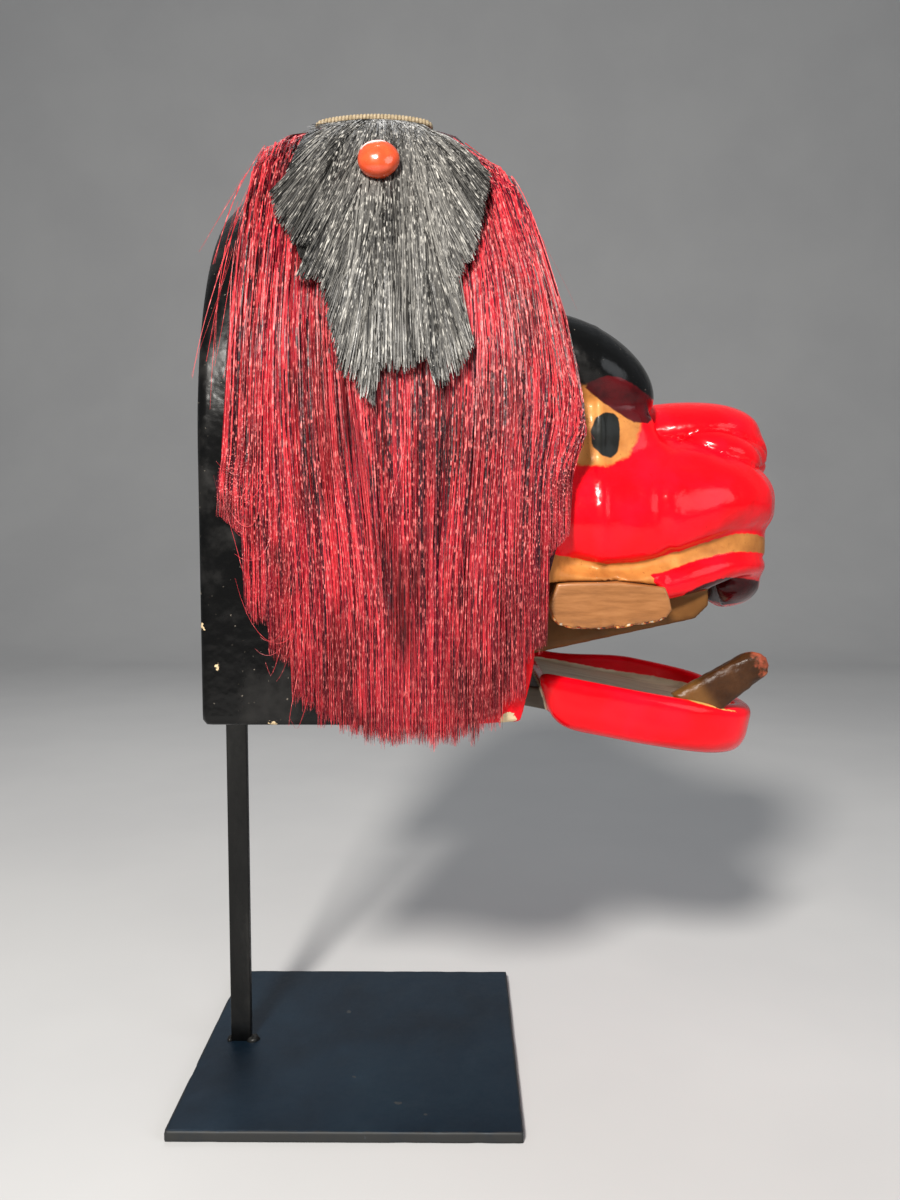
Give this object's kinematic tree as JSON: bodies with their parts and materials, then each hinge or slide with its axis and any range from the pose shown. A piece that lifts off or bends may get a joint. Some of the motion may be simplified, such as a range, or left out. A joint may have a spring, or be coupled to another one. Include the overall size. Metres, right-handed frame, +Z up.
{
  "type": "lion dance mask",
  "caption": "Hollow carved and lacquered lion head, open at the back, with a hinged clapping lower jaw and a hair mane, held up on a flat bar that rises from a square steel plate.",
  "frame": {"origin": "middle of the stand plate's underside", "axes": "+X along the muzzle, +Y to the lion's left, +Z up"},
  "size_m": [0.354, 0.2606, 0.5915],
  "materials": {
    "blued_steel": "dark blue-black satin steel",
    "grey_steel": "dark grey satin steel",
    "lacquered_head": "red, black and gold lacquer over carved wood",
    "red_lacquer": "glossy red lacquer over carved wood",
    "gold_teeth": "worn brown-gold lacquer",
    "plain_wood": "bare hardwood",
    "red_hair": "dyed horsehair",
    "black_hair": "grey-black horsehair",
    "orange_bead": "glossy orange-red bead",
    "linen_tape": "stitched linen tape"
  },
  "bodies": {
    "head_and_stand": {"stand_plate": "blued_steel", "stand_upright": "grey_steel", "head": "lacquered_head", "right_side_tooth": "gold_teeth", "left_side_tooth": "gold_teeth", "jaw_pivot_rod": "plain_wood", "right_mane": "red_hair", "left_mane": "red_hair", "right_tuft": "black_hair", "left_tuft": "black_hair", "right_bead": "orange_bead", "left_bead": "orange_bead", "hair_band": "linen_tape"},
    "jaw": {"lower_jaw": "red_lacquer", "lower_fang": "gold_teeth"}
  },
  "joints": [
    {"name": "jaw_hinge", "type": "hinge", "parent": "head_and_stand", "child": "jaw", "pos_m": [0.062, 0, 0.248], "axis": [0, -1, 0], "range_deg": [0, 12]}
  ]
}
